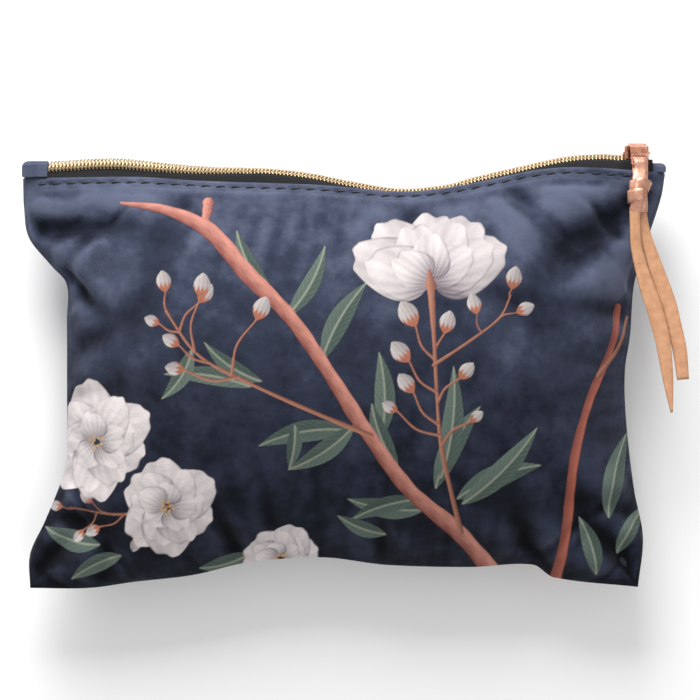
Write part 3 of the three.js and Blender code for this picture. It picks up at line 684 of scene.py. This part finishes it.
def mark_cloth(obj, grid, fold_shade):
    """Stores each point's painted fold shade and highlight, and its place at rest, which keeps the pattern
    still as the cloth bends.
    """
    layer = obj.data.attributes.new("fold_shade", "FLOAT", "POINT")
    layer.data.foreach_set("value", fold_shade.ravel().astype(np.float32))
    layer = obj.data.attributes.new("place", "FLOAT_VECTOR", "POINT")
    layer.data.foreach_set("vector", grid.ravel().astype(np.float32))


def apply_print(obj, grid, painter):
    picture = Print(grid[..., 0], grid[..., 1])
    painter(picture)
    layer = obj.data.color_attributes.new("print", "FLOAT_COLOR", "POINT")
    dyed = np.column_stack([picture.colour, picture.cover])
    layer.data.foreach_set("color", dyed.ravel().astype(np.float32))


# --- materials ---

class Nodes:
    """Short hand for building a material's node tree."""

    def __init__(self, name):
        self.material = bpy.data.materials.new(name)
        self.material.use_nodes = True
        self.tree = self.material.node_tree
        self.shader = self.tree.nodes["Principled BSDF"]

    def add(self, kind, inputs=(), **settings):
        node = self.tree.nodes.new(kind)
        for key, value in settings.items():
            setattr(node, key, value)
        for key, value in dict(inputs).items():
            self.set(node, key, value)
        return node

    def set(self, node, key, value):
        if isinstance(value, bpy.types.NodeSocket):
            self.tree.links.new(value, node.inputs[key])
        else:
            node.inputs[key].default_value = value

    def surface(self, **inputs):
        for key, value in inputs.items():
            self.set(self.shader, key.replace("_", " "), value)

    def attribute(self, name, output):
        return self.add("ShaderNodeAttribute", attribute_name=name).outputs[output]

    def position(self, scale=(1000, 1000, 1000)):
        """The point in millimetres, or stretched."""
        inputs = {"Vector": self.add("ShaderNodeTexCoord").outputs["Object"], "Scale": scale}
        return self.add("ShaderNodeMapping", inputs).outputs["Vector"]

    def noise(self, vector, scale, detail, roughness):
        inputs = {"Vector": vector, "Scale": scale, "Detail": detail, "Roughness": roughness}
        return self.add("ShaderNodeTexNoise", inputs).outputs["Fac"]

    def wave(self, vector, scale, distortion, direction):
        inputs = {"Vector": vector, "Scale": scale, "Distortion": distortion}
        return self.add("ShaderNodeTexWave", inputs, bands_direction=direction).outputs["Fac"]

    def ramp(self, factor, stops):
        node = self.add("ShaderNodeValToRGB", {"Fac": factor})
        while len(node.color_ramp.elements) < len(stops):
            node.color_ramp.elements.new(0.5)
        for element, (place, colour) in zip(node.color_ramp.elements, stops):
            element.position = place
            element.color = (*colour, 1)
        return node.outputs["Color"]

    def math(self, operation, a, b):
        return self.add("ShaderNodeMath", {0: a, 1: b}, operation=operation).outputs[0]

    def sum(self, base, *weighted):
        """base plus each value times its weight."""
        for value, weight in weighted:
            base = self.math("ADD", base, self.math("MULTIPLY", value, weight))
        return base

    def blend(self, factor, a, b, mode="MIX"):
        node = self.add("ShaderNodeMix", data_type="RGBA", blend_type=mode)
        self.set(node, 0, factor)
        self.set(node, 6, a)
        self.set(node, 7, b)
        return node.outputs[2]

    def bump(self, height, strength, distance):
        inputs = {"Height": height, "Strength": strength, "Distance": distance}
        self.surface(Normal=self.add("ShaderNodeBump", inputs).outputs["Normal"])


def velvet(name, printed):
    """Cotton velvet: a mottled navy ground and short pile, crushed in places. The print lies in the pile."""
    n = Nodes(name)
    at = n.attribute("place", "Vector") if printed else n.position()
    mottle = n.noise(at, 0.055, 5, 0.62)
    crushed = n.noise(at, 0.16, 4, 0.6)
    pile = n.noise(at, 2.6, 2, 0.7)
    sparkle = n.noise(at, 6.5, 1, 0.5)
    height = n.add("ShaderNodeSeparateXYZ", {"Vector": at}).outputs["Y"]
    # Painted light: the ground is painted lighter towards the zip and darker towards the bottom seam, as
    # shade from a lamp on the zip's side
    painted_top_light = n.add("ShaderNodeMapRange", {0: height, 1: -85.0, 2: 78.0}).outputs[0]
    tone = n.sum(0.0, (painted_top_light, 0.44), (mottle, 0.62), (crushed, 0.25))
    # Painted shade and highlight: the folds' valleys are painted darker and their ridges and crests lighter
    if printed:
        tone = n.sum(tone, (n.math("SUBTRACT", n.attribute("fold_shade", "Fac"), 0.5), 0.5))
    colour = n.ramp(tone, [
        (0.34, linear(9, 10, 15)), (0.52, linear(24, 27, 38)), (0.74, linear(48, 53, 70)),
        (0.98, linear(82, 88, 108)),
    ])
    if printed:
        worn = n.math("MULTIPLY", n.attribute("print", "Alpha"), n.sum(0.80, (pile, 0.25)))
        colour = n.blend(worn, colour, n.attribute("print", "Color"))
    flecks = n.sum(0.75, (sparkle, 0.5))
    grey = n.add("ShaderNodeCombineColor", {"Red": flecks, "Green": flecks, "Blue": flecks}).outputs[0]
    colour = n.blend(0.55, colour, n.blend(1.0, colour, grey, "MULTIPLY"))
    n.surface(Base_Color=colour, Roughness=0.93, Specular_IOR_Level=0.1)
    n.surface(Sheen_Weight=0.22, Sheen_Roughness=0.4, Sheen_Tint=(0.74, 0.78, 0.92, 1))
    n.bump(n.sum(0.0, (pile, 0.5), (crushed, 1.6)), 0.55, 0.0006)
    return n.material


def woven(name, dark, light, pitch):
    """A plain woven tape or lining: warp and weft at a given pitch in millimetres."""
    n = Nodes(name)
    at = n.position()
    warp, weft = (n.wave(at, 0.314 / pitch, 0.6, direction) for direction in "XY")
    tone = n.sum(0.0, (n.math("MULTIPLY", warp, weft), 0.7), (n.noise(at, 3.0, 3, 0.5), 0.4))
    n.surface(Base_Color=n.ramp(tone, [(0.2, dark), (0.9, light)]), Roughness=0.8, Sheen_Weight=0.1)
    n.surface(Specular_IOR_Level=0.25)
    n.bump(tone, 0.6, 0.0003)
    return n.material


def plated(name, low, high, roughness):
    """Polished plating with fine scratches and faint finger marks."""
    n = Nodes(name)
    smear = n.noise(n.position(), 0.5, 4, 0.6)
    scratch = n.noise(n.position((4000, 400, 1500)), 0.6, 3, 0.7)
    n.surface(Base_Color=n.ramp(smear, [(0.3, low), (0.7, high)]), Metallic=1.0)
    n.surface(Roughness=n.sum(roughness, (smear, 0.16)))
    n.bump(scratch, 0.03, 0.0001)
    return n.material


def coil_finish():
    """Nylon coil with a thin metallised face: gold on its crowns, duller between them."""
    n = Nodes("coil_gold")
    grain = n.noise(n.position(), 1.8, 4, 0.6)
    n.surface(Base_Color=n.ramp(grain, [(0.25, linear(150, 122, 88)), (0.7, linear(214, 192, 156))]))
    n.surface(Metallic=0.72, Roughness=n.sum(0.26, (grain, 0.2)))
    n.bump(grain, 0.15, 0.0001)
    return n.material


def leather(name, low, high, metallic, roughness):
    """Thin split leather: soft mottling, fine grain and small pores."""
    n = Nodes(name)
    at = n.position()
    cloud = n.noise(at, 0.35, 4, 0.6)
    grain = n.add("ShaderNodeTexVoronoi", {"Vector": at, "Scale": 2.4}).outputs["Distance"]
    fibre = n.noise(at, 4.0, 3, 0.6)
    tone = n.sum(0.0, (cloud, 0.8), (fibre, 0.25))
    n.surface(Base_Color=n.ramp(tone, [(0.3, low), (0.75, high)]), Metallic=metallic)
    n.surface(Roughness=n.sum(roughness, (fibre, 0.2)), Specular_IOR_Level=0.35)
    n.bump(n.sum(0.0, (grain, 0.6), (fibre, 0.5)), 0.4, 0.0002)
    return n.material


def thread_finish(name, dark, light):
    """Twisted polyester thread."""
    n = Nodes(name)
    twist = n.wave(n.position(), 0.9, 0.4, "DIAGONAL")
    n.surface(Base_Color=n.ramp(twist, [(0.1, dark), (0.9, light)]), Roughness=0.55, Sheen_Weight=0.2)
    n.bump(twist, 0.4, 0.0001)
    return n.material


# --- setting ---

def make_camera():
    """Straight above the printed face, as a long lens sees it."""
    data = bpy.data.cameras.new("camera")
    data.lens = 110
    data.sensor_width = 36
    camera = link("camera", data)
    height = data.lens / data.sensor_width * VIEW_SPAN
    camera.location = (Vector((2.3, 7.6, height)) + Vector(SHIFT)) / 1000
    data.clip_start, data.clip_end = 0.01, 10
    bpy.context.scene.camera = camera


def make_light(name, place, target, power, size):
    data = bpy.data.lights.new(name, "AREA")
    data.energy = power
    data.size = size
    lamp = link(name, data)
    lamp.location = place
    lamp.rotation_euler = (Vector(target) - Vector(place)).to_track_quat("-Z", "Y").to_euler()


def make_setting():
    scene = bpy.context.scene
    scene.view_settings.view_transform = "Standard"
    world = bpy.data.worlds.new("studio")
    world.use_nodes = True
    background = world.node_tree.nodes["Background"].inputs
    background["Color"].default_value = (1, 1, 1, 1)
    background["Strength"].default_value = 0.62
    scene.world = world
    make_light("key", (-0.12, 0.66, 0.42), (0, 0.02, 0.02), 8.0, 0.42)
    make_light("fill", (0.2, -0.35, 0.85), (0, 0, 0.02), 1.1, 0.5)
    bpy.ops.mesh.primitive_plane_add(size=6, location=(0, 0, -0.0004))
    floor = bpy.context.object
    floor.name = "floor"
    n = Nodes("floor_white")
    n.surface(Base_Color=(0.93, 0.93, 0.93, 1), Roughness=0.8, Specular_IOR_Level=0.1)
    floor.data.materials.append(n.material)


# --- pieces ---

# The span of x that each piece covers: the front comes in thirds, so that the mouth can open as a lens
SPANS = {
    1: {"left": (-1e3, OPEN_LEFT[1]), "middle": (OPEN_LEFT[1], OPEN_RIGHT[0]), "right": (OPEN_RIGHT[0], 1e3)},
    -1: {"all": (-1e3, 1e3)},
}
BENDS = {"left": ("back", "front", OPEN_LEFT), "right": ("front", "back", OPEN_RIGHT)}
RIDES = {"middle": "front", "all": "back"}


def spans():
    """Each side and its name, with each of its pieces and the span of x that it covers."""
    for side, name in [(1, "front"), (-1, "back")]:
        for part, (low, high) in SPANS[side].items():
            yield side, name, part, low, high


def add_piece(name, verts, faces, materials, node, place):
    """A piece with its finish and the CAD node it stands for. It follows its body, or, for a piece in a bend,
    keeps its place in the world.
    """
    obj = new_object(name, verts, faces)
    for material in materials:
        obj.data.materials.append(material)
    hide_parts(node)
    if place in BENDS:
        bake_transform(obj)
    else:
        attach(obj, RIDES.get(place, place))
    return obj


def add_sheet(name, grid, side, material, node, part):
    """A piece of cloth from a grid of points, facing outwards."""
    faces = grid_faces(*grid.shape[:2], flip=side < 0)
    return add_piece(name, grid, faces, [material], node, part)


def panel_u(x):
    """Where a line of the panel that meets the zip at x starts, as a share of the panel's width."""
    return (x - LEFT) / (RIGHT - LEFT)


def stitch_groove(x):
    """How deep each stitch pulls the cloth in, along the topstitch line."""
    return 0.30 + 0.22 * np.cos(2 * math.pi * (x - ZIP_START + 4) / STITCH_PITCH)


def cloth_grid(side, u, v):
    """A panel's skin with the topstitch's groove and puffed band, rolled over at the fold edge and hemmed."""
    uu, vv = np.meshgrid(u, v)
    points, normal = skin(side, uu, vv)
    below = edge_distances(uu, vv)[3] - TOP_BAND
    mouth = np.minimum(ramp(-118, -112, points[..., 0]), 1 - ramp(115, 119, points[..., 0]))
    groove = stitch_groove(points[..., 0]) * np.exp(-((below / 0.75) ** 2))
    puff = 0.35 * np.exp(-(((below + 1.1) / 0.8) ** 2)) + 0.45 * np.exp(-(((below - 2.2) / 1.8) ** 2))
    points = points + normal * ((puff - groove * 1.5) * mouth)[..., None]
    along = unit(points[-1] - points[-3])
    rows = [points]
    for turn in np.linspace(0, math.pi, 7)[1:]:
        roll = math.sin(turn) * along - (1 - math.cos(turn)) * normal[-1]
        rows.append((points[-1] + VELVET / 2 * roll)[None])
    for k in range(3, 18, 2):
        rows.append((points[-1 - k] - VELVET * normal[-1 - k])[None])
    return np.concatenate(rows)


def make_panel(material, side, node, quads, painter, ending="{}"):
    """One velvet panel: its shape, its painted fold shade and highlight, and its print, cut into its pieces.
    """
    u, v = (np.linspace(0, 1, count + 1) for count in quads)
    x = mix(LEFT, RIGHT, u)
    whole = cloth_grid(side, u, v)
    fold_shade = painted_fold_shading(side, whole, u, v)
    for part, (low, high) in SPANS[side].items():
        columns = slice(np.searchsorted(x, low), np.searchsorted(x, high) + 1)
        grid = whole[:, columns]
        obj = add_sheet(f"{node}_{ending.format(part)}", grid, side, material, node, part)
        apply_print(obj, grid, painter)
        mark_cloth(obj, grid, fold_shade[:, columns])


def make_linings(material):
    """Lining sheets inside the velvet, hanging a little slack, and flatter beside the seams."""
    v = np.linspace(0, 1, 61)
    for side, name, part, low, high in spans():
        low_u, high_u = np.clip([panel_u(low), panel_u(high)], 0, 1)
        uu, vv = np.meshgrid(np.linspace(low_u, high_u, 34 if side > 0 else 100), v)
        grid = nested(skin(side, uu, vv)[0], LINING_DEPTH)
        grid[..., 2] *= 0.8 * ramp(-4, 24, np.min(edge_distances(uu, vv)[:3], axis=0))
        node = f"{name}_lining"
        obj = add_sheet(f"{node}_{part}_cloth", grid, side, material, node, part)
        obj.modifiers.new("cloth", "SOLIDIFY").thickness = 0.0004


def tape_grid(side, x):
    """A tape's points at stations x: up from under the fold edge, over the shelf and in to the chain."""
    depth = VELVET + 0.85
    u = panel_u(x / (1 - depth / NEST[0]))
    rows = [nested(plain_skin(side, u, np.full_like(u, v)), depth) for v in (0.965, 0.98, 1.0)]
    edge = rows[-1]
    shelf = mix(2.6, 5.1, ramp(SLIDER_X - 9, SLIDER_X - 6, x))
    bend = chain_point(x, side * shelf, -0.4)
    inner = chain_point(x, side * (0.03 + coil_spread(x)), -0.4)
    rows += [mix(edge, bend, t) for t in (0.3, 0.6, 0.85)]
    rows += [mix(bend, inner, t) for t in (0.08, 0.25, 0.5, 0.75, 1.0)]
    grid = np.stack(rows)
    grid[..., 0] = x
    return grid


def make_tapes(material):
    """Woven tapes from under each fold edge to the middle of the chain."""
    stations = np.linspace(ZIP_START, ZIP_END, 421)
    for side, name, part, low, high in spans():
        columns = slice(np.searchsorted(stations, low), np.searchsorted(stations, high) + 1)
        grid = tape_grid(side, stations)[:, columns]
        node = f"zip_tape_{name}"
        obj = add_sheet(f"{node}_{part}", grid, side, material, node, part)
        solid = obj.modifiers.new("tape", "SOLIDIFY")
        solid.thickness = 0.0005
        solid.offset = 0


def coil_loop(side, x):
    """One loop of the coil: from its heel at the tape, over the crown, to its head past the middle."""
    spread = float(coil_spread(x))
    return [chain_point(x + lean, side * (across + spread), out) for across, out, lean in [
        (1.95, 0, 0), (2.05, 0.7, 0), (1.65, 1.3, 0.12), (0.8, 1.58, 0.38), (0.1, 1.54, 0.6),
        (-0.35, 1.2, 0.72),
    ]]


def make_coils(material):
    """Each half of the coil: its loops and the cord that they run round."""
    radii = [0.36, 0.50, 0.56, 0.54, 0.44, 0.34]
    count = int((ZIP_END - ZIP_START) / PITCH) - 1
    for side, name, part, low, high in spans():
        starts = ZIP_START + 0.4 + PITCH * np.arange(count) + (0 if side > 0 else PITCH / 2)
        loops = [coil_loop(side, x) for x in starts if low <= x < high]
        x = np.arange(max(low, ZIP_START + 0.4), min(high, ZIP_END - 0.6), 1.0)
        cord = chain_point(x, side * (1.15 + coil_spread(x)), 0.5)
        verts, faces = tube_set([*loops, cord], [radii] * len(loops) + [[0.58] * len(x)], 7)
        add_piece(f"zip_coil_{name}_{part}", verts, faces, [material], f"zip_coil_{name}", part)


def make_topstitch(material):
    """Lockstitches sunk in the cloth 2 mm below each fold edge."""
    centres = np.arange(ZIP_START - 2, ZIP_END - 1, STITCH_PITCH)
    lift = np.array([-0.7, -0.05, 0.22, 0.28, 0.22, -0.05, -0.7])[:, None]
    radii = [0.18, 0.28, 0.33, 0.34, 0.33, 0.28, 0.18]
    for side, name, part, low, high in spans():
        paths = []
        for centre in centres[(centres >= low) & (centres < high)]:
            u = panel_u(centre + np.linspace(-2.1, 2.1, 7))
            points, normal = skin(side, u, np.full_like(u, 1 - TOP_BAND / PANEL[1]))
            paths.append(points + normal * lift)
        verts, faces = tube_set(paths, [radii] * len(paths), 7)
        add_piece(f"topstitch_{name}_{part}", verts, faces, [material], f"topstitch_{name}", part)


def make_seam_threads(material):
    """Lockstitches of the side and bottom seams, inside the pouch beside its edges."""
    lift = [-0.3, 0.1, 0.2, 0.1, -0.3]
    radii = [0.16, 0.22, 0.24, 0.22, 0.16]
    for node, start, end, run in [
        ("side_seam_thread_left", (0, 0), (0, 1), PANEL[1]),
        ("side_seam_thread_right", (1, 0), (1, 1), PANEL[1]),
        ("bottom_seam_thread", (0, 0), (1, 0), PANEL[0]),
    ]:
        paths = []
        for centre in np.arange(0.03, 0.965, SEAM_PITCH / run):
            share = centre + np.linspace(-0.38, 0.38, 5) * SEAM_PITCH / run
            stitch = nested(plain_skin(1, mix(start[0], end[0], share), mix(start[1], end[1], share)), 3.4)
            stitch[:, 2] += lift
            paths.append(stitch)
        verts, faces = tube_set(paths, [radii] * len(paths), 6)
        add_piece(f"{node}_stitches", verts, faces, [material], node, "back")


FRONT_TAIL = [
    (109.2, 61, 13.2), (109.4, 54, 13.4), (109.9, 46, 13.6), (113, 33.6, 14.4), (116.5, 22.5, 15.6),
    (119.2, 11.5, 16.8), (120.7, 0, 18), (122.2, -15.7, 20),
]
REAR_TAIL = [
    (112, 60.6, 10.4), (113.4, 51.6, 11), (116.5, 41.3, 11.8), (119.2, 33.2, 12.6), (121.9, 25.2, 13.6),
    (123.8, 16.8, 14.8), (125.7, 8, 16), (126.8, -3.4, 17.6),
]


def strap(name, node, path, across, half_widths, thickness, back, face):
    """A strip of the thong along a path. across is its width direction, and face its upper finish."""
    path = np.asarray(path, float)
    along = unit(np.gradient(path, axis=0))
    across = np.broadcast_to(across, path.shape).astype(float)
    across = unit(across - (across * along).sum(1, keepdims=True) * along)
    up = np.cross(across, along)
    wide = np.broadcast_to(half_widths, len(path))
    rings = path[:, None] + across[:, None] * (STRAP_SECTION[None, :, :1] * wide[:, None, None])
    rings = rings + up[:, None] * (STRAP_SECTION[None, :, 1:] * thickness / 2)
    sides = len(STRAP_SECTION)
    faces = grid_faces(len(path), sides, closed=True, flip=True).tolist()
    count = len(faces)
    last = (len(path) - 1) * sides
    faces.append(list(range(sides)))
    faces.append([last + k for k in reversed(range(sides))])
    obj = add_piece(name, rings, faces, [face, back], node, "thong")
    for i in range(count):
        obj.data.polygons[i].material_index = 1 if i % sides < 5 else 0
    return obj


def make_tails(tan, metal):
    """The thong's two free tails, flesh side up."""
    for node, points, widths in [
        ("thong_tail_front", FRONT_TAIL, [1.9, 2.0, 2.4, 2.9, 2.9, 2.6, 1.8, 0.35]),
        ("thong_tail_rear", REAR_TAIL, [1.9, 2.2, 2.6, 2.9, 2.9, 2.8, 2.6, 2.2]),
    ]:
        path = resample(points, 60)
        along = np.gradient(path, axis=0)
        twist = 0.10 * np.sin(np.linspace(0, 7, 60)) * np.abs(along[:, 1])
        across = np.stack([along[:, 1], -along[:, 0], twist], -1)
        half = smooth_line(list(zip(np.linspace(0, 1, len(widths)), widths)), np.linspace(0, 1, 60))
        obj = strap(f"{node}_strip", node, path, across, half, TAIL_THICKNESS, metal, tan)
        placed = (path + SHIFT) / 1000
        length = float(np.linalg.norm(np.diff(placed, axis=0), axis=1).sum())


def make_knot(metal):
    """The loop through the pull's slot, and the turn of leather that ties it."""
    y, z = LEAF_END
    loop = resample([
        (109.3, KNOT[1] - 7.6, KNOT[2] + 0.5), (111.0, KNOT[1] + 1, KNOT[2] + 1.3), (111.6, y - 2, z + 2.3),
        (111.7, y + 1.2, z + 2.0), (111.7, y + 2.5, z + 0.1), (111.7, y + 1.2, z - 1.9),
        (111.6, y - 1.8, z - 1.5), (111.6, KNOT[1] + 1, KNOT[2] - 1.3), (112.1, KNOT[1] - 7.8, KNOT[2] - 2.2),
    ], 90)
    share = np.linspace(0, 1, 90)
    loop[:, 0] += 0.25 * np.sin(share * 21)
    wide = 2.15 + 0.7 * np.abs(np.sin(2 * math.pi * share))
    strap("thong_loop", "thong_knot", loop, (1, 0, 0), wide, KNOT_THICKNESS, metal, metal)
    turns = np.linspace(0, 1, 110)
    angle = math.radians(200) - 2 * math.pi * 1.35 * turns
    grow = 2.7 + 0.95 * turns
    wrap = np.stack([
        KNOT[0] + (grow + 0.35 + 0.22 * np.sin(angle * 5)) * np.cos(angle),
        KNOT[1] + 2.6 - 5.2 * turns + 1.5 * np.sin(angle + 0.6),
        KNOT[2] + (grow - 0.35) * np.sin(angle),
    ], -1)
    tilt = np.stack([0.42 * np.cos(angle * 0.5), np.ones_like(angle), 0.22 * np.sin(angle * 2)], -1)
    wide = 2.0 + 0.5 * np.sin(turns * 9)
    strap("thong_knot_turn", "thong_knot", wrap, tilt, wide, KNOT_THICKNESS, metal, metal)


def dress_cad_nodes(finishes):
    """CAD nodes that stay: rounded edges and their finish."""
    for name, (material, bevel) in finishes.items():
        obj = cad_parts[name]
        obj.data.materials.clear()
        obj.data.materials.append(material)
        edge = obj.modifiers.new("edges", "BEVEL")
        edge.width = bevel / 1000
        edge.segments = 3
        edge.limit_method = "ANGLE"
        edge.angle_limit = math.radians(28)
        smooth = obj.modifiers.new("shade", "WEIGHTED_NORMAL")
        smooth.keep_sharp = True


def main():
    make_camera()
    tan = leather("thong_flesh_side", linear(172, 122, 88), linear(202, 154, 118), 0.0, 0.5)
    metal = leather("thong_foil_side", linear(168, 112, 92), linear(222, 172, 148), 0.7, 0.3)
    make_tails(tan, metal)
    make_knot(metal)
    make_setting()
    settled.update({side: settle(side) for side in (1, -1)})
    printed = velvet("velvet_printed", True)
    plain = velvet("velvet_plain", False)
    make_panel(printed, 1, "front_panel", FRONT_GRID, paint_front)
    make_panel(printed, -1, "back_panel", BACK_GRID, paint_back, "cloth")
    make_linings(woven("lining_cloth", linear(24, 27, 36), linear(52, 56, 70), 0.5))
    make_tapes(woven("zip_tape_weave", linear(9, 9, 11), linear(34, 34, 38), 0.7))
    make_coils(coil_finish())
    thread = thread_finish("thread_navy", linear(8, 9, 16), linear(26, 29, 44))
    make_topstitch(thread)
    make_seam_threads(thread)
    rose = plated("rose_gold_plating", linear(188, 122, 98), linear(232, 172, 144), 0.12)
    dress_cad_nodes({
        "slider_body": (rose, 0.25),
        "pull_tab": (rose, 0.18),
        "zip_tab_left": (plain, 0.9),
        "zip_tab_right": (plain, 0.8),
    })


main()
